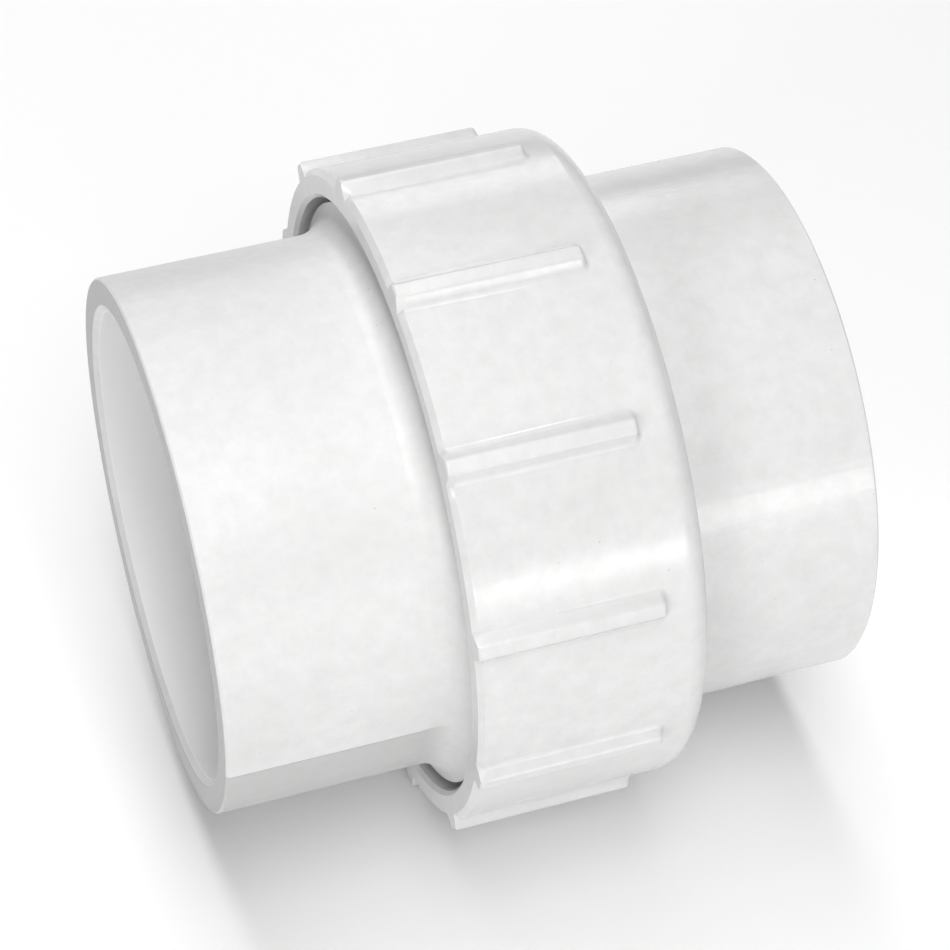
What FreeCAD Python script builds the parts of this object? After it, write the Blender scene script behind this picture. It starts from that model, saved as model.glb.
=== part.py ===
"""Pipe union for 2 inch plastic pipe: threaded body, tailpiece, ribbed union nut and O-ring.

The pipe axis is X, with the threaded body at -X. The origin is on that axis, midway between the two
mouths. Every sub-part is drawn along its own X axis and then placed. Lengths are in millimetres.
"""

import FreeCAD, Part
import math
import os

import Sketcher

Vector = FreeCAD.Vector

# Driving dimensions: alias, value, meaning. Every "at" is measured from the body's mouth, along the axis.
DIMENSIONS = [
    ("half_length", 42.05, "half of the union's overall length"),
    ("roll_angle", 15.0, "turn about the axis that lays the union on two ribs"),
    ("socket_radius", 34.5, "outside of both pipe sockets"),
    ("bore_radius", 30.25, "inside of both pipe sockets"),
    ("socket_depth", 30.0, "mouth to pipe stop"),
    ("mouth_chamfer", 0.85, "lead-in at both mouths"),
    ("edge_break", 0.3, "softened outer edge of both mouths"),
    ("waterway_radius", 26.25, "bore between the two pipe stops"),
    ("body_length", 50.0, "mouth to sealing face of the threaded body"),
    ("flare_at", 26.6, "where the socket begins to widen"),
    ("flare_radius", 4.4, "concave sweep up to the shoulder"),
    ("shoulder_radius", 37.9, "collar between flare and thread"),
    ("shoulder_end_at", 32.5, "thread side of the collar"),
    ("shoulder_slope", 1.2, "length of the slope from collar to thread core"),
    ("core_radius", 36.5, "threaded body under its thread"),
    ("core_chamfer", 0.8, "lead-in at the free end of the core"),
    ("groove_inner_radius", 29.4, "inner wall of the O-ring groove"),
    ("groove_outer_radius", 34.1, "outer wall of the O-ring groove"),
    ("groove_depth", 2.8, "depth of the O-ring groove, and height of the squeezed ring"),
    ("ring_inner_flat", 31.1, "inner edge of the squeezed ring's flats"),
    ("ring_outer_flat", 32.4, "outer edge of the squeezed ring's flats"),
    ("thread_pitch", 5.0, "single start, right hand"),
    ("thread_at", 35.0, "start of the ridge's foot"),
    ("ridge_turns", 2.2, "length of the body's ridge"),
    ("ridge_radius", 38.3, "top of the body's ridge"),
    ("ridge_sink", 0.4, "how far the ridge's section reaches into the core"),
    ("ridge_sink_load", 0.07, "load flank's run over that sink"),
    ("ridge_foot", 3.28, "ridge width at the bottom of its section"),
    ("ridge_top", 1.42, "ridge width at the top"),
    ("ridge_lean", 0.39, "load flank's run from the section's bottom to its top"),
    ("slot_radius", 38.65, "bottom of the nut's thread groove"),
    ("slot_mouth_radius", 36.6, "open side of the nut's groove section, inside the nut's bore"),
    ("slot_lead", 0.35, "how far the groove's section starts before the ridge's foot"),
    ("slot_mouth", 3.63, "groove width on its open side"),
    ("slot_bottom", 1.83, "groove width at its bottom"),
    ("slot_lean", 0.36, "load flank's run across the groove's section"),
    ("slot_turns", 3.4, "length of the nut's groove"),
    ("flange_radius", 36.6, "tailpiece flange, which passes through the nut's thread"),
    ("flange_thickness", 5.0, "tailpiece flange"),
    ("flange_break", 0.5, "softened outer edges of the flange"),
    ("flange_fillet", 0.5, "root of the flange on the tailpiece"),
    ("tail_length", 34.1, "sealing face to mouth of the tailpiece"),
    ("nut_at", 29.4, "nut's open end"),
    ("nut_length", 29.8, "open end to lip face"),
    ("nut_radius", 42.37, "nut's outside between the ribs"),
    ("nut_fillet", 2.9, "rounded shoulder at the lip end"),
    ("nut_chamfer", 0.7, "outer edge at the open end"),
    ("nut_mouth_radius", 38.8, "plain entry that covers the collar"),
    ("nut_mouth_depth", 4.2, "length of that entry"),
    ("nut_mouth_chamfer", 0.5, "inner edge at the open end"),
    ("nut_bore_radius", 36.95, "crest of the nut's thread"),
    ("lip_radius", 34.85, "lip's bore, around the tailpiece"),
    ("lip_face", 25.6, "open end to the face that pulls on the flange"),
    ("lip_chamfer", 0.8, "both edges of the lip's bore"),
    ("rib_count", 12, "grip ribs around the nut"),
    ("rib_length", 24.1, "open end to the rounded end of a rib"),
    ("rib_overrun", 3.0, "rib section past the open end, trimmed off"),
    ("rib_foot_radius", 41.4, "start of a rib inside the nut's wall"),
    ("rib_radius", 43.8, "top of a rib"),
    ("rib_half_width", 1.95, "half of a rib's width at its start"),
    ("rib_corner", 1.2, "corner radius of a rib's rounded end, seen from above"),
    ("rib_draft", 15.0, "slope of a rib's sides"),
    ("rib_round", 0.45, "rounding along a rib's top"),
    ("rib_root", 0.6, "hollow along a rib's foot"),
]
VALUES = {alias: value for alias, value, meaning in DIMENSIONS}

TOUCH = 0.02  # how near to a surface the middle of an edge counts as on it

doc = FreeCAD.newDocument("PipeUnion")


def add_sheet():
    """The spreadsheet of driving dimensions, one row each: alias, value, meaning."""
    sheet = doc.addObject("Spreadsheet::Sheet", "Dimensions")
    for row, (alias, value, meaning) in enumerate(DIMENSIONS, start=1):
        sheet.set(f"A{row}", alias)
        sheet.set(f"B{row}", str(value))
        sheet.set(f"C{row}", meaning)
        sheet.setAlias(f"B{row}", alias)
    doc.recompute()


def number(formula):
    """Value of a sum of dimensions, such as "body_length - core_chamfer"."""
    total = 0.0
    sign = 1.0
    for word in formula.split():
        if word in "+-":
            sign = 1.0 if word == "+" else -1.0
        else:
            total += sign * VALUES[word]
    return total


def bound(formula):
    """The same sum, as an expression on the spreadsheet's cells."""
    return " ".join(word if word in "+-" else f"Dimensions.{word}" for word in formula.split())


def origin_feature(body, role):
    """The body's own origin plane or axis with this role."""
    return next(item for item in body.Origin.OriginFeatures if item.Role == role)


def add_body(name):
    """An empty body whose label names its piece."""
    body = doc.addObject("PartDesign::Body", name)
    body.Label = name
    return body


def add_sketch(body, name):
    """A sketch on the body's XY plane: along the axis, then out from it."""
    sketch = body.newObject("Sketcher::SketchObject", name)
    sketch.AttachmentSupport = (origin_feature(body, "XY_Plane"), "")
    sketch.MapMode = "FlatFace"
    return sketch


def bind(sketch, kind, *where, formula):
    """Add a sketch constraint whose value is a sum of dimensions."""
    index = sketch.addConstraint(Sketcher.Constraint(kind, *where, number(formula)))
    sketch.setExpression(f"Constraints[{index}]", bound(formula))


def arc_between(start, end, radius, clockwise):
    """The short arc from start to end, which bulges left of the way there if it turns clockwise."""
    chord = end - start
    left = Vector(-chord.y, chord.x, 0).normalize()
    rise = math.sqrt(max(radius**2 - (chord.Length / 2) ** 2, 0.0))
    side = -1 if clockwise else 1
    centre = (start + end) / 2 + left * rise * side
    bulge = centre - left * radius * side
    return Part.Arc(start, bulge, end)


def add_profile(body, name, corners, arcs=None):
    """A closed sketch through corners, each an (axial, radial) pair of sums.

    An axial sum of None stands at 0. The arcs map a corner's index to the radius and turn of the arc
    that leaves it. A half circle has no radius of its own: it is tangent to the line before it. So is an
    arc whose far corner has an axial sum that starts with "about", which the tangency then settles.
    """
    arcs = arcs or {}
    sketch = add_sketch(body, name)
    places = []
    for axial, radial in corners:
        along = number(axial.removeprefix("about ")) if axial else 0.0
        places.append(Vector(along, number(radial), 0))
    starts = {}
    ends = {}
    for index, start in enumerate(places):
        end = places[(index + 1) % len(places)]
        if index in arcs:
            radius, turn = arcs[index]
            clockwise = turn == "clockwise"
            size = number(radius) if radius else (end - start).Length / 2
            edge = sketch.addGeometry(arc_between(start, end, size, clockwise))
            starts[index] = (edge, 2 if clockwise else 1)
            ends[index] = (edge, 1 if clockwise else 2)
            if radius:
                bind(sketch, "Radius", edge, formula=radius)
        else:
            edge = sketch.addGeometry(Part.LineSegment(start, end))
            starts[index] = (edge, 1)
            ends[index] = (edge, 2)
    for index, (axial, radial) in enumerate(corners):
        before = ends[(index - 1) % len(corners)]
        here = starts[index]
        following = (index + 1) % len(corners)
        far_is_free = (corners[following][0] or "").startswith("about")
        if index in arcs and (far_is_free or arcs[index][0] is None):
            sketch.addConstraint(Sketcher.Constraint("Tangent", *before, *here))
        else:
            sketch.addConstraint(Sketcher.Constraint("Coincident", *before, *here))
        if axial is None:
            sketch.addConstraint(Sketcher.Constraint("PointOnObject", *here, -2))
        elif not axial.startswith("about"):
            bind(sketch, "DistanceX", -1, 1, *here, formula=axial)
        bind(sketch, "DistanceY", -1, 1, *here, formula=radial)
    return sketch


def revolve(body, name, sketch, kind="PartDesign::Revolution"):
    """Turn a profile right round the body's X axis."""
    feature = body.newObject(kind, name)
    feature.Profile = sketch
    feature.ReferenceAxis = (origin_feature(body, "X_Axis"), [""])
    feature.Angle = 360.0
    return feature


def sweep_thread(body, name, sketch, kind, turns):
    """Sweep a thread's section along its right-hand helix about the body's X axis."""
    helix = body.newObject(kind, name)
    helix.Profile = sketch
    helix.ReferenceAxis = (origin_feature(body, "X_Axis"), [""])
    helix.Mode = "pitch-turns-angle"
    helix.LeftHanded = False
    helix.Reversed = False
    helix.setExpression("Pitch", bound("thread_pitch"))
    helix.setExpression("Turns", bound(turns))
    return helix


def round_edges(body, name, radius, chosen):
    """Fillet the edges of the body's tip that the test picks."""
    doc.recompute()
    base = body.Tip
    names = [f"Edge{i}" for i, edge in enumerate(base.Shape.Edges, start=1) if chosen(edge)]
    fillet = body.newObject("PartDesign::Fillet", name)
    fillet.Base = (base, names)
    fillet.setExpression("Radius", bound(radius))
    return fillet


def place(body, axial):
    """Put the body's own origin at this distance along the union's axis."""
    roll = FreeCAD.Rotation(Vector(1, 0, 0), number("roll_angle"))
    body.Placement = FreeCAD.Placement(Vector(number(axial), 0, 0), roll)
    body.setExpression("Placement.Base.x", bound(axial))
    body.setExpression("Placement.Rotation.Angle", bound("roll_angle"))


def threaded_body():
    """Pipe socket, flare, collar and external thread, with the O-ring's groove in its end face."""
    body = add_body("threaded_body")
    corners = [
        (None, "bore_radius + mouth_chamfer"),
        (None, "socket_radius - edge_break"),
        ("edge_break", "socket_radius"),
        ("flare_at", "socket_radius"),
        ("about flare_at + flare_radius", "shoulder_radius"),
        ("shoulder_end_at", "shoulder_radius"),
        ("shoulder_end_at + shoulder_slope", "core_radius"),
        ("body_length - core_chamfer", "core_radius"),
        ("body_length", "core_radius - core_chamfer"),
        ("body_length", "groove_outer_radius"),
        ("body_length - groove_depth", "groove_outer_radius"),
        ("body_length - groove_depth", "groove_inner_radius"),
        ("body_length", "groove_inner_radius"),
        ("body_length", "waterway_radius"),
        ("socket_depth", "waterway_radius"),
        ("socket_depth", "bore_radius"),
        ("mouth_chamfer", "bore_radius"),
    ]
    profile = add_profile(body, "body_profile", corners, {3: ("flare_radius", "anticlockwise")})
    revolve(body, "body_turned", profile)
    doc.recompute()
    bottom = "core_radius - ridge_sink"
    section = [
        ("thread_at - ridge_sink_load", bottom),
        ("thread_at - ridge_sink_load + ridge_lean", "ridge_radius"),
        ("thread_at - ridge_sink_load + ridge_lean + ridge_top", "ridge_radius"),
        ("thread_at - ridge_sink_load + ridge_foot", bottom),
    ]
    ridge = add_profile(body, "ridge_section", section)
    sweep_thread(body, "ridge", ridge, "PartDesign::AdditiveHelix", "ridge_turns")
    place(body, "- half_length")
    return body


def tailpiece():
    """Pipe socket with the flange that the nut pulls against the threaded body."""
    body = add_body("tailpiece")
    corners = [
        (None, "waterway_radius"),
        (None, "flange_radius - flange_break"),
        ("flange_break", "flange_radius"),
        ("flange_thickness - flange_break", "flange_radius"),
        ("flange_thickness", "flange_radius - flange_break"),
        ("flange_thickness", "socket_radius + flange_fillet"),
        ("flange_thickness + flange_fillet", "socket_radius"),
        ("tail_length - edge_break", "socket_radius"),
        ("tail_length", "socket_radius - edge_break"),
        ("tail_length", "bore_radius + mouth_chamfer"),
        ("tail_length - mouth_chamfer", "bore_radius"),
        ("tail_length - socket_depth", "bore_radius"),
        ("tail_length - socket_depth", "waterway_radius"),
    ]
    profile = add_profile(body, "tail_profile", corners, {5: ("flange_fillet", "anticlockwise")})
    revolve(body, "tail_turned", profile)
    place(body, "body_length - half_length")
    return body


def o_ring():
    """Ring squeezed between the groove's floor and the flange, with flats where it touches them."""
    body = add_body("o_ring")
    corners = [
        (None, "ring_inner_flat"),
        (None, "ring_outer_flat"),
        ("groove_depth", "ring_outer_flat"),
        ("groove_depth", "ring_inner_flat"),
    ]
    bulge = (None, "clockwise")
    profile = add_profile(body, "ring_profile", corners, {1: bulge, 3: bulge})
    revolve(body, "ring_turned", profile)
    place(body, "body_length - groove_depth - half_length")
    return body


def rib_plan(body):
    """A rib seen from above: square at the open end, where it overruns, and rounded at the other."""
    sketch = add_sketch(body, "rib_plan")
    sketch.AttachmentOffset = FreeCAD.Placement(Vector(0, 0, number("rib_foot_radius")), FreeCAD.Rotation())
    sketch.setExpression("AttachmentOffset.Base.z", bound("rib_foot_radius"))
    near = -number("rib_overrun")
    far = number("rib_length")
    half = number("rib_half_width")
    corner = number("rib_corner")
    places = [
        Vector(near, -half, 0),
        Vector(far - corner, -half, 0),
        Vector(far, corner - half, 0),
        Vector(far, half - corner, 0),
        Vector(far - corner, half, 0),
        Vector(near, half, 0),
    ]
    bottom = sketch.addGeometry(Part.LineSegment(places[0], places[1]))
    turn_up = sketch.addGeometry(arc_between(places[1], places[2], corner, False))
    end = sketch.addGeometry(Part.LineSegment(places[2], places[3]))
    turn_back = sketch.addGeometry(arc_between(places[3], places[4], corner, False))
    top = sketch.addGeometry(Part.LineSegment(places[4], places[5]))
    back = sketch.addGeometry(Part.LineSegment(places[5], places[0]))
    for first, second in ((bottom, turn_up), (turn_up, end), (end, turn_back), (turn_back, top)):
        sketch.addConstraint(Sketcher.Constraint("Tangent", first, 2, second, 1))
    for first, second in ((top, back), (back, bottom)):
        sketch.addConstraint(Sketcher.Constraint("Coincident", first, 2, second, 1))
    sketch.addConstraint(Sketcher.Constraint("Horizontal", bottom))
    sketch.addConstraint(Sketcher.Constraint("Horizontal", top))
    sketch.addConstraint(Sketcher.Constraint("Vertical", end))
    sketch.addConstraint(Sketcher.Constraint("Symmetric", bottom, 1, top, 2, -1))
    sketch.addConstraint(Sketcher.Constraint("Equal", turn_up, turn_back))
    bind(sketch, "Radius", turn_up, formula="rib_corner")
    bind(sketch, "DistanceX", back, 1, -1, 1, formula="rib_overrun")
    bind(sketch, "DistanceX", -1, 1, end, 1, formula="rib_length")
    bind(sketch, "DistanceY", -1, 1, top, 1, formula="rib_half_width")
    return sketch


def add_ribs(body):
    """Drafted ribs right round the nut, trimmed flush with its open end and softened on top."""
    rib = body.newObject("PartDesign::Pad", "rib")
    rib.Profile = rib_plan(body)
    rib.setExpression("Length", bound("rib_radius - rib_foot_radius"))
    rib.TaperAngle = -number("rib_draft")
    rib.setExpression("TaperAngle", bound("- rib_draft"))
    doc.recompute()
    ring = body.newObject("PartDesign::PolarPattern", "rib_ring")
    ring.Originals = [rib]
    ring.Axis = (origin_feature(body, "X_Axis"), [""])
    ring.Angle = 360.0
    ring.setExpression("Occurrences", bound("rib_count"))
    body.Tip = ring
    doc.recompute()


def trim_overrun(body):
    """Turn away what the ribs leave in front of the nut's open end."""
    sketch = add_sketch(body, "overrun")
    near = -number("rib_overrun + rib_overrun")
    inner = number("nut_mouth_radius")
    outer = number("rib_radius + rib_overrun")
    places = [Vector(near, inner, 0), Vector(0, inner, 0), Vector(0, outer, 0), Vector(near, outer, 0)]
    for index, start in enumerate(places):
        sketch.addGeometry(Part.LineSegment(start, places[(index + 1) % 4]))
        sketch.addConstraint(Sketcher.Constraint("Horizontal" if index % 2 == 0 else "Vertical", index))
    for index in range(4):
        sketch.addConstraint(Sketcher.Constraint("Coincident", index, 2, (index + 1) % 4, 1))
    sketch.addConstraint(Sketcher.Constraint("PointOnObject", 1, 1, -2))
    bind(sketch, "DistanceY", -1, 1, 1, 1, formula="nut_mouth_radius")
    bind(sketch, "DistanceY", -1, 1, 2, 1, formula="rib_radius + rib_overrun")
    bind(sketch, "DistanceX", 3, 1, -1, 1, formula="rib_overrun + rib_overrun")
    revolve(body, "open_end_trim", sketch, "PartDesign::Groove")
    doc.recompute()


def union_nut():
    """Ribbed nut: plain entry over the collar, thread, room for the flange, and the lip behind it."""
    body = add_body("union_nut")
    corners = [
        (None, "nut_mouth_radius + nut_mouth_chamfer"),
        (None, "nut_radius - nut_chamfer"),
        ("nut_chamfer", "nut_radius"),
        ("nut_length - nut_fillet", "nut_radius"),
        ("nut_length", "nut_radius - nut_fillet"),
        ("nut_length", "lip_radius + lip_chamfer"),
        ("nut_length - lip_chamfer", "lip_radius"),
        ("lip_face + lip_chamfer", "lip_radius"),
        ("lip_face", "lip_radius + lip_chamfer"),
        ("lip_face", "nut_bore_radius"),
        ("nut_mouth_depth", "nut_bore_radius"),
        ("nut_mouth_depth", "nut_mouth_radius"),
        ("nut_mouth_chamfer", "nut_mouth_radius"),
    ]
    profile = add_profile(body, "nut_profile", corners, {3: ("nut_fillet", "clockwise")})
    revolve(body, "nut_turned", profile)
    doc.recompute()
    add_ribs(body)
    trim_overrun(body)
    round_edges(body, "rib_tops", "rib_round", on_rib_top)
    round_edges(body, "rib_feet", "rib_root", on_rib_foot)
    doc.recompute()
    start = "thread_at - nut_at - thread_pitch - slot_lead"
    section = [
        (start, "slot_mouth_radius"),
        (f"{start} + slot_lean", "slot_radius"),
        (f"{start} + slot_lean + slot_bottom", "slot_radius"),
        (f"{start} + slot_mouth", "slot_mouth_radius"),
    ]
    slot = add_profile(body, "slot_section", section)
    sweep_thread(body, "slot", slot, "PartDesign::SubtractiveHelix", "slot_turns")
    place(body, "nut_at - half_length")
    return body


def middle_radius(edge):
    """How far an edge's middle is from the X axis."""
    middle = edge.CenterOfMass
    return math.hypot(middle.y, middle.z)


def on_rib_top(edge):
    """Whether an edge of the nut bounds the flat top of a rib."""
    return middle_radius(edge) > number("rib_radius") - TOUCH


def on_rib_foot(edge):
    """Whether an edge of the nut is where a rib meets the plain wall, short of the rounded shoulder."""
    on_wall = abs(middle_radius(edge) - number("nut_radius")) < TOUCH
    return on_wall and edge.BoundBox.XMax < number("nut_length - nut_fillet") - TOUCH


def check(pieces):
    """Stop if any object failed, or any piece isn't one valid solid."""
    for item in doc.Objects:
        if {"Invalid", "Error"} & set(item.State):
            raise RuntimeError(f"{item.Name} failed: {item.State}")
    for piece in pieces:
        shape = piece.Shape
        if shape.isNull() or not shape.isValid() or len(shape.Solids) != 1:
            raise RuntimeError(f"{piece.Label} isn't one valid solid")
        for feature in piece.Group:
            if hasattr(feature, "Shape") and feature.isDerivedFrom("PartDesign::Feature"):
                print(f"{piece.Label} {feature.Name}: {feature.Shape.Volume:.1f} mm3")


def main():
    """Build the four pieces, check them and write each one to its file."""
    add_sheet()
    pieces = [threaded_body(), tailpiece(), union_nut(), o_ring()]
    doc.recompute()
    check(pieces)
    os.makedirs("parts", exist_ok=True)
    for piece in pieces:
        piece.Shape.exportStep(f"parts/{piece.Label}.step")


main()
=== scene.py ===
"""Looks of the pipe union: white moulded plastic with a black rubber ring, on a pale floor in soft light."""

import math

import bmesh
import bpy
from mathutils import Matrix, Vector


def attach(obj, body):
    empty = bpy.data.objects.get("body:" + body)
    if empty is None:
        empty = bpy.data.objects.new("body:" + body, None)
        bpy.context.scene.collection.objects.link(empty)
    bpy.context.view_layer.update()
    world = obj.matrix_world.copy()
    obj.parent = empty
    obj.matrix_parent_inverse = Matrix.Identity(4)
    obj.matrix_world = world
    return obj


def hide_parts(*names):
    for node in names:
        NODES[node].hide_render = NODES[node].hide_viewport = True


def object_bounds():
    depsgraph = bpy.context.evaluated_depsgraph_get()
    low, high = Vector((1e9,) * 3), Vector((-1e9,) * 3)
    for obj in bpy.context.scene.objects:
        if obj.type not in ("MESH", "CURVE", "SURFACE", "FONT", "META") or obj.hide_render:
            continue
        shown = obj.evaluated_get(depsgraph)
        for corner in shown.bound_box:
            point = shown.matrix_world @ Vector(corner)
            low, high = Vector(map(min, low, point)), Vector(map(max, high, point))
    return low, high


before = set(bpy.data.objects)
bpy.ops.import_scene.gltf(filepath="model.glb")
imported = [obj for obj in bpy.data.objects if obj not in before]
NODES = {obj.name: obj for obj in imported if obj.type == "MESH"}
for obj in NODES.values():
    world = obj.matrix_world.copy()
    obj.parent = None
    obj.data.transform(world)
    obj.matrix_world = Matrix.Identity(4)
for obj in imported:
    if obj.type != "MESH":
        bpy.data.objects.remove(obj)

CAD_LOW, CAD_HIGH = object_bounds()
MM = 0.001
END_FACE = CAD_LOW.x  # the body's sawn end

VIEW_AZIMUTH = -17.62
VIEW_ELEVATION = 42.03
VIEW_ROLL = -0.85
VIEW_DISTANCE = 435.1 * MM
VIEW_AIM = Vector((0.6, -0.2, -0.1)) * MM
LENS = 128.08
SENSOR_WIDTH = 36.0
NEAREST = 0.02
FARTHEST = 20.0

# Plastic: colours, how much of each is mixed in, and the scales of the patterns in cells per metre.
PLASTIC_LIGHT = (0.69, 0.69, 0.688)
PLASTIC_DULL = (0.655, 0.655, 0.652)
MOTTLE_COLOUR = (0.58, 0.58, 0.577)
MOTTLE_SHARE = 0.5
SPECK_COLOUR = (0.4, 0.38, 0.35)
SPECK_SHARE = 0.7
# Painted shade: the darker colour laid on the socket's lower half, below the parting lines, and on the sawn
# end's rim, with its share on each.
PAINTED_SHADE_COLOUR = (0.4, 0.4, 0.398)
LOWER_PAINTED_SHADE_SHARE = 0.7
RIM_PAINTED_SHADE_SHARE = 0.9
# Painted light: the lighter colour laid inside the bore, and its share.
BORE_PAINTED_LIGHT_COLOUR = (0.86, 0.86, 0.858)
BORE_PAINTED_LIGHT_SHARE = 0.95
CLOUD_SCALE = 70
MOTTLE_SCALE = 450
GRAIN_SCALE = 900
STREAK_SCALE = 1400
SPECK_SCALE = 260
STREAK_STRETCH = (0.03, 1, 1)  # drawn out along the part's axis
CLOUD_DEPTH = 0.04 * MM
GRAIN_DEPTH = 0.0012 * MM
TAIL_STREAK_DEPTH = 0.04 * MM
PLASTIC_IOR = 1.53
BODY_ROUGHNESS = 0.4
GLOSSY_ROUGHNESS = 0.22

# Rubber.
RUBBER_DARK = (0.014, 0.014, 0.015)
RUBBER_BLOOM = (0.032, 0.032, 0.033)
BLOOM_SCALE = 300
RUBBER_GRAIN_SCALE = 2500
RUBBER_GRAIN_DEPTH = 0.01 * MM

# The body's socket, in millimetres: its wall, its bore, and a radius inside the wall that parts the two.
SOCKET_RADIUS = 34.5
BORE_RADIUS = 30.3
WALL_RADIUS = 33.25

# The body's parting lines: where they run, and how the lip over one is shaped, as pairs of the distance
# down the wall and the height above it. All in millimetres but the angle, which is measured from the top.
SEAM_ANGLE = 104.4
SEAM_START = -41.75
SEAM_END = -15.9
SEAM_RISE = 0.4
SEAM_FALL = 1.5
SEAM_SHAPE = ((-2.4, -0.02), (-1.6, 0.01), (-0.8, 0.05), (-0.1, 0.11), (0.0, 0.12), (0.02, 0.006),
              (0.15, 0.006), (0.17, 0.11), (0.7, 0.085), (1.5, 0.035), (2.4, -0.02))
SEAM_ROOT = -0.2

# The nut's ribs, in millimetres but the angles, which are measured from the top: where they are, how far
# along the nut and how far round from a rib's middle they reach, and the factors that widen them at the
# foot and narrow them at the top.
NUT_RADIUS = 42.37
RIB_RADIUS = 43.8
RIB_END = 12.3
RIB_REACH = 2.6
RIB_FIRST = 15.0
RIB_STEP = 30.0
FOOT_SPREAD = 1.15
TOP_SPREAD = 0.7

# Meshes: corners closer than this are one, and edges sharper than this angle stay sharp.
WELD_DISTANCE = 0.002 * MM
SHARP_ANGLE = 40

FLOOR_SIZE = 8.0
FLOOR_WHITE = 0.91
FLOOR_ROUGHNESS = 0.7
FLOOR_SHINE = 0.2
DOME_STRENGTH = 0.1
SOFTBOXES = (
    ("overhead", 180, 70, 1.4, 0.6, 1.7, 3.7),
    ("back", 175, 24, 1.4, 0.7, 0.4, 2.6),
    ("key", -3, 58, 1.4, 0.5, 1.0, 7.2),
    ("front_low", -5, 25, 1.4, 0.45, 0.5, 2.0),
    ("front_left", -48, 15, 1.0, 0.4, 0.25, 9.0),
    ("front_strip", 13, 4, 0.6, 0.3, 0.02, 24.0),
)


def towards(azimuth, elevation):
    a, e = math.radians(azimuth), math.radians(elevation)
    return Vector((math.sin(a) * math.cos(e), -math.cos(a) * math.cos(e), math.sin(e)))


# ---- Materials ----

def new_material(name):
    """An empty node material, with its shader and output joined."""
    material = bpy.data.materials.new(name)
    material.use_nodes = True
    nodes = material.node_tree.nodes
    nodes.clear()
    shader = nodes.new("ShaderNodeBsdfPrincipled")
    output = nodes.new("ShaderNodeOutputMaterial")
    material.node_tree.links.new(shader.outputs["BSDF"], output.inputs["Surface"])
    return material, shader


def stretched_place(tree, stretch):
    """The piece's own coordinates, scaled along each axis."""
    place = tree.nodes.new("ShaderNodeTexCoord")
    mapping = tree.nodes.new("ShaderNodeMapping")
    mapping.inputs["Scale"].default_value = stretch
    tree.links.new(place.outputs["Object"], mapping.inputs["Vector"])
    return mapping.outputs["Vector"]


def noise(tree, place, scale, detail, roughness=0.5):
    """A noise texture's value at a place."""
    node = tree.nodes.new("ShaderNodeTexNoise")
    node.inputs["Scale"].default_value = scale
    node.inputs["Detail"].default_value = detail
    node.inputs["Roughness"].default_value = roughness
    tree.links.new(place, node.inputs["Vector"])
    return node.outputs["Fac"]


def remap(tree, value, low, high, to_low, to_high):
    """A value's range mapped, with its ends held, to another range."""
    node = tree.nodes.new("ShaderNodeMapRange")
    for socket, number in zip(("From Min", "From Max", "To Min", "To Max"), (low, high, to_low, to_high)):
        node.inputs[socket].default_value = number
    tree.links.new(value, node.inputs["Value"])
    return node.outputs["Result"]


def speck(tree, place):
    """The share of speck colour: full inside tiny dots scattered a few millimetres apart, 0 elsewhere."""
    node = tree.nodes.new("ShaderNodeTexVoronoi")
    node.inputs["Scale"].default_value = SPECK_SCALE
    tree.links.new(place, node.inputs["Vector"])
    return remap(tree, node.outputs["Distance"], 0.02, 0.035, SPECK_SHARE, 0.0)


def vector_math(tree, operation, first, second=None):
    """A number from one place vector, or from it and a fixed vector."""
    node = tree.nodes.new("ShaderNodeVectorMath")
    node.operation = operation
    tree.links.new(first, node.inputs[0])
    if second is not None:
        node.inputs[1].default_value = second
    return node.outputs["Value"]


def product(tree, first, second):
    """Two shares multiplied."""
    node = tree.nodes.new("ShaderNodeMath")
    node.operation = "MULTIPLY"
    tree.links.new(first, node.inputs[0])
    tree.links.new(second, node.inputs[1])
    return node.outputs["Value"]


def mix_colour(tree, share, first, second):
    """A colour between two, or between a socket and a colour, by a share."""
    node = tree.nodes.new("ShaderNodeMix")
    node.data_type = "RGBA"
    tree.links.new(share, node.inputs["Factor"])
    for name, colour in (("A", first), ("B", second)):
        socket = next(s for s in node.inputs if s.name == name and s.type == "RGBA")
        if isinstance(colour, bpy.types.NodeSocket):
            tree.links.new(colour, socket)
        else:
            socket.default_value = (*colour, 1.0)
    return next(s for s in node.outputs if s.type == "RGBA")


def bump(tree, shader, layers):
    """Stack bumps, each a (height socket, depth in metres) pair, onto the shader's normal."""
    before = None
    for height, depth in layers:
        node = tree.nodes.new("ShaderNodeBump")
        node.inputs["Strength"].default_value = 1.0
        node.inputs["Distance"].default_value = depth
        tree.links.new(height, node.inputs["Height"])
        if before:
            tree.links.new(before, node.inputs["Normal"])
        before = node.outputs["Normal"]
    tree.links.new(before, shader.inputs["Normal"])


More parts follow.
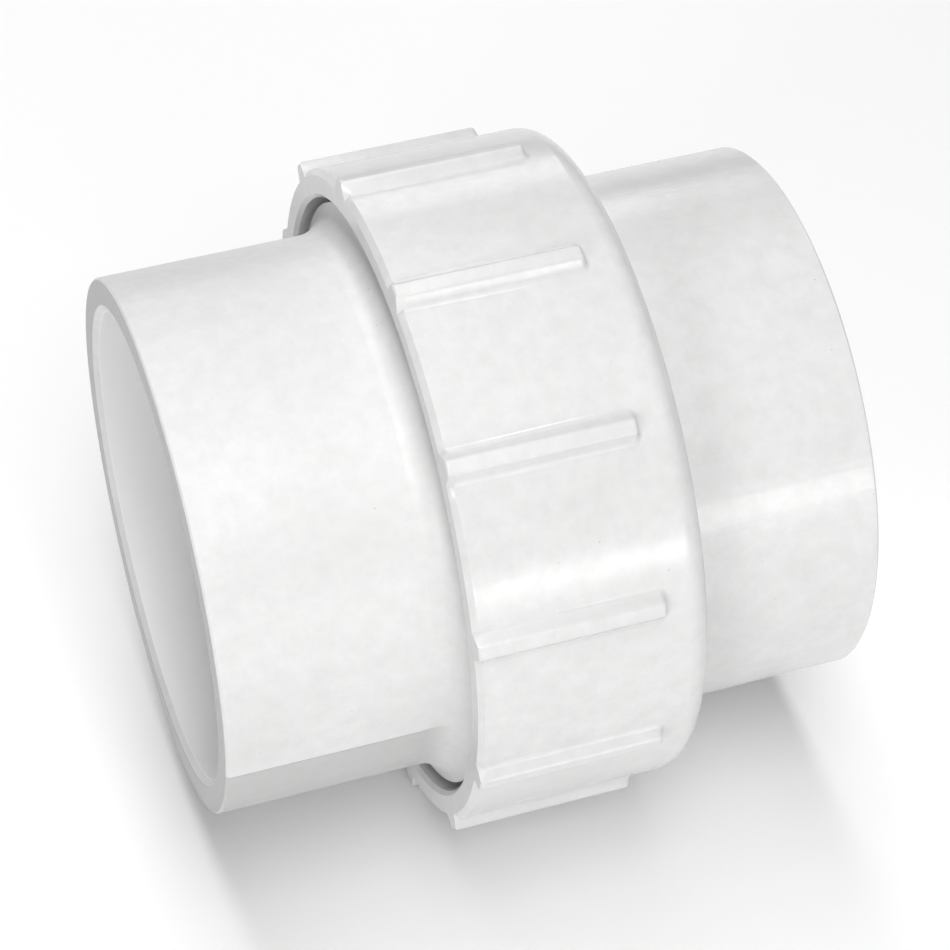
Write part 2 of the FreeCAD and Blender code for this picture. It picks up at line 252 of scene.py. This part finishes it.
def moulded_plastic(name, roughness, streak_depth=0.0):
    """White rigid plastic: faint clouding, a few tiny dark specks, uneven gloss and a skin that isn't flat.
    Returns the material, its shader, its place vector and its colour, for a piece that adds to them."""
    material, shader = new_material(name)
    tree = material.node_tree
    place = stretched_place(tree, (1, 1, 1))
    cloud = noise(tree, place, CLOUD_SCALE, 4, 0.6)
    mottle = noise(tree, place, MOTTLE_SCALE, 4, 0.65)
    grain = noise(tree, place, GRAIN_SCALE, 3, 0.6)
    colour = mix_colour(tree, remap(tree, cloud, 0.35, 0.7, 0, 1), PLASTIC_LIGHT, PLASTIC_DULL)
    colour = mix_colour(tree, remap(tree, mottle, 0.35, 0.7, 0, MOTTLE_SHARE), colour, MOTTLE_COLOUR)
    colour = mix_colour(tree, speck(tree, place), colour, SPECK_COLOUR)
    tree.links.new(colour, shader.inputs["Base Color"])
    uneven = remap(tree, grain, 0.3, 0.7, roughness - 0.03, roughness + 0.04)
    tree.links.new(uneven, shader.inputs["Roughness"])
    shader.inputs["IOR"].default_value = PLASTIC_IOR
    layers = [(cloud, CLOUD_DEPTH), (grain, GRAIN_DEPTH)]
    if streak_depth:
        streak = noise(tree, stretched_place(tree, STREAK_STRETCH), STREAK_SCALE, 3, 0.7)
        layers.append((streak, streak_depth))
    bump(tree, shader, layers)
    return material, shader, place, colour


def body_plastic(name):
    """The body's plastic, with painted shade on the socket's outside below the parting lines and on the sawn
    end, and painted light inside the bore.
    """
    material, shader, place, colour = moulded_plastic(name, BODY_ROUGHNESS)
    tree = material.node_tree
    across = stretched_place(tree, (0, 1, 1))
    radius = vector_math(tree, "LENGTH", across)
    angle = math.radians(SEAM_ANGLE)
    depth = vector_math(tree, "DOT_PRODUCT", across, (0, -math.cos(angle), -math.sin(angle)))
    along = vector_math(tree, "DOT_PRODUCT", place, (1, 0, 0))

    # Painted shade: the socket's outside below the parting lines, up to where the flare starts, is coloured
    # darker to stand in for the shade on the lower half.
    below = remap(tree, depth, -0.02 * MM, 0.06 * MM, 0, 1)
    on_socket = remap(tree, along, (SEAM_END - 0.8) * MM, (SEAM_END + 2.5) * MM, 1, 0)
    outside = remap(tree, radius, (WALL_RADIUS - 0.25) * MM, (WALL_RADIUS + 0.25) * MM, 0, LOWER_PAINTED_SHADE_SHARE)
    shade = product(tree, product(tree, below, on_socket), outside)
    colour = mix_colour(tree, shade, colour, PAINTED_SHADE_COLOUR)

    # Painted light: the bore's wall is coloured lighter to stand in for the light that reaches inside it.
    bore = remap(tree, radius, (BORE_RADIUS - 0.03) * MM, (BORE_RADIUS + 0.03) * MM, BORE_PAINTED_LIGHT_SHARE, 0)
    colour = mix_colour(tree, bore, colour, BORE_PAINTED_LIGHT_COLOUR)

    # Painted shade: the rim of the sawn end is coloured darker to stand in for the shade on that face.
    rim = remap(tree, along, END_FACE + 0.04 * MM, END_FACE + 0.1 * MM, RIM_PAINTED_SHADE_SHARE, 0)
    colour = mix_colour(tree, rim, colour, PAINTED_SHADE_COLOUR)
    tree.links.new(colour, shader.inputs["Base Color"])
    return material


def seal_rubber(name):
    """Matt black rubber with a fine bloom."""
    material, shader = new_material(name)
    tree = material.node_tree
    place = stretched_place(tree, (1, 1, 1))
    bloom = noise(tree, place, BLOOM_SCALE, 4, 0.6)
    colour = mix_colour(tree, remap(tree, bloom, 0.35, 0.7, 0, 1), RUBBER_DARK, RUBBER_BLOOM)
    tree.links.new(colour, shader.inputs["Base Color"])
    tree.links.new(remap(tree, bloom, 0.3, 0.7, 0.5, 0.68), shader.inputs["Roughness"])
    bump(tree, shader, [(noise(tree, place, RUBBER_GRAIN_SCALE, 2), RUBBER_GRAIN_DEPTH)])
    return material


def assign(piece, material):
    """Give every face of a piece this material."""
    for slot in piece.material_slots:
        slot.link = "OBJECT"
        slot.material = material


# ---- Pieces ----


def new_piece(name, points, faces):
    """A mesh object in the scene, shaded smooth but for its sharp edges."""
    mesh = bpy.data.meshes.new(name)
    mesh.from_pydata(points, [], faces)
    mesh.validate()
    for face in mesh.polygons:
        face.use_smooth = True
    mesh.set_sharp_from_angle(angle=math.radians(SHARP_ANGLE))
    piece = bpy.data.objects.new(name, mesh)
    bpy.context.scene.collection.objects.link(piece)
    return piece


def round_wall(mesh):
    """Shade the nut's plain wall as a true cylinder, whatever its triangles are joined to."""
    normals = []
    for face in mesh.polygons:
        corners = [mesh.vertices[index].co for index in face.vertices]
        on_wall = all(abs(math.hypot(co.y, co.z) / MM - NUT_RADIUS) < 0.01 for co in corners)
        normals += [Vector((0, co.y, co.z)).normalized() if on_wall else Vector() for co in corners]
    mesh.normals_split_custom_set(normals)


def respread(place):
    """Where a corner of the nut goes when its rib is drawn wide at the foot and narrow at the top."""
    radius = math.hypot(place.y, place.z) / MM
    if radius < NUT_RADIUS - 0.005 or place.x > RIB_END * MM:
        return place
    angle = math.degrees(math.atan2(-place.y, place.z))
    middle = RIB_FIRST + RIB_STEP * round((angle - RIB_FIRST) / RIB_STEP)
    if abs(math.radians(angle - middle)) * radius > RIB_REACH:
        return place
    height = min(1.0, max(0.0, (radius - NUT_RADIUS) / (RIB_RADIUS - NUT_RADIUS)))
    spread = FOOT_SPREAD + (TOP_SPREAD - FOOT_SPREAD) * height
    turn = math.radians(middle + (angle - middle) * spread)
    return Vector((place.x, -math.sin(turn) * radius * MM, math.cos(turn) * radius * MM))


def add_nut(material):
    """The nut with softer ribs, and otherwise the CAD shape."""
    nut = NODES["union_nut"]
    shape = bmesh.new()
    shape.from_mesh(nut.data)
    shape.transform(nut.matrix_world)
    bmesh.ops.remove_doubles(shape, verts=shape.verts, dist=WELD_DISTANCE)
    points = [respread(vertex.co.copy()) for vertex in shape.verts]
    faces = [[vertex.index for vertex in face.verts] for face in shape.faces]
    shape.free()
    piece = new_piece("nut_shell", points, faces)
    round_wall(piece.data)
    piece.data.materials.append(material)
    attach(piece, "union_nut")
    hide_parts("union_nut")


def add_seam(name, angle, downward, material):
    """A parting line along the body's socket, where the upper half of the mould stands a little proud."""
    outline = list(SEAM_SHAPE) + [(SEAM_SHAPE[-1][0], SEAM_ROOT), (SEAM_SHAPE[0][0], SEAM_ROOT)]
    length = SEAM_END - SEAM_START
    rises = ((0.0, 0.0), (SEAM_RISE, 1.0), (length - SEAM_FALL, 1.0), (length, 0.0))
    low = SEAM_SHAPE[0][1]
    points = []
    for along, rise in rises:
        for down, height in outline:
            turn = math.radians(angle) + downward * down / SOCKET_RADIUS
            if height > low:
                height = low + (height - low) * rise
            radius = SOCKET_RADIUS + height
            place = Vector((SEAM_START + along, -math.sin(turn) * radius, math.cos(turn) * radius))
            points.append(place * MM)

    count = len(outline)
    near_end = tuple(range(count))
    far_end = tuple(range(len(points) - 1, len(points) - count - 1, -1))
    faces = [near_end, far_end]
    for station in range(len(rises) - 1):
        for corner in range(count):
            here = station * count + corner
            beside = station * count + (corner + 1) % count
            faces.append((here, here + count, beside + count, beside))
    if downward < 0:
        faces = [face[::-1] for face in faces]

    seam = new_piece(name, points, faces)
    seam.data.materials.append(material)
    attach(seam, "threaded_body")


# ---- Stage ----

def add_floor():
    """A wide pale floor under the object's lowest point."""
    half = FLOOR_SIZE / 2
    mesh = bpy.data.meshes.new("floor")
    corners = [(-half, -half, 0), (half, -half, 0), (half, half, 0), (-half, half, 0)]
    mesh.from_pydata(corners, [], [(0, 1, 2, 3)])
    floor = bpy.data.objects.new("floor", mesh)
    bpy.context.scene.collection.objects.link(floor)
    floor.location.z = CAD_LOW.z
    material, shader = new_material("pale_floor")
    shader.inputs["Base Color"].default_value = (FLOOR_WHITE, FLOOR_WHITE, FLOOR_WHITE, 1)
    shader.inputs["Roughness"].default_value = FLOOR_ROUGHNESS
    shader.inputs["Specular IOR Level"].default_value = FLOOR_SHINE
    mesh.materials.append(material)


def add_softbox(name, azimuth, elevation, distance, width, height, brightness):
    """A rectangular light that faces the object. Brightness is the radiance of its face."""
    light = bpy.data.lights.new(name, "AREA")
    light.shape = "RECTANGLE"
    light.size = width
    light.size_y = height
    light.energy = brightness * math.pi * width * height
    lamp = bpy.data.objects.new(name, light)
    bpy.context.scene.collection.objects.link(lamp)
    direction = towards(azimuth, elevation)
    lamp.location = direction * distance
    lamp.rotation_mode = "QUATERNION"
    lamp.rotation_quaternion = direction.to_track_quat("Z", "Y")


def add_dome():
    """Even white light from all round."""
    world = bpy.data.worlds.new("dome")
    bpy.context.scene.world = world
    world.use_nodes = True
    nodes = world.node_tree.nodes
    nodes.clear()
    background = nodes.new("ShaderNodeBackground")
    background.inputs["Color"].default_value = (1, 1, 1, 1)
    background.inputs["Strength"].default_value = DOME_STRENGTH
    output = nodes.new("ShaderNodeOutputWorld")
    world.node_tree.links.new(background.outputs["Background"], output.inputs["Surface"])


def add_camera():
    """The main view."""
    camera = bpy.data.objects.new("camera", bpy.data.cameras.new("camera"))
    bpy.context.scene.collection.objects.link(camera)
    back = towards(VIEW_AZIMUTH, VIEW_ELEVATION)
    roll = Matrix.Rotation(math.radians(VIEW_ROLL), 3, "Z")
    turn = (-back).to_track_quat("-Z", "Y").to_matrix() @ roll
    camera.matrix_world = Matrix.Translation(VIEW_AIM + back * VIEW_DISTANCE) @ turn.to_4x4()
    camera.data.lens = LENS
    camera.data.sensor_width = SENSOR_WIDTH
    camera.data.clip_start = NEAREST
    camera.data.clip_end = FARTHEST
    bpy.context.scene.camera = camera


add_camera()
add_floor()
add_dome()
for softbox in SOFTBOXES:
    add_softbox(*softbox)

whole_body = body_plastic("body_plastic")
nut_plastic = moulded_plastic("nut_plastic", GLOSSY_ROUGHNESS)[0]
tail_plastic = moulded_plastic("tail_plastic", GLOSSY_ROUGHNESS, TAIL_STREAK_DEPTH)[0]
assign(NODES["threaded_body"], whole_body)
assign(NODES["tailpiece"], tail_plastic)
assign(NODES["o_ring"], seal_rubber("black_rubber"))
add_nut(nut_plastic)
add_seam("seam_front", SEAM_ANGLE, 1, whole_body)
add_seam("seam_back", SEAM_ANGLE + 180, -1, whole_body)

bpy.context.scene.view_settings.view_transform = "Standard"
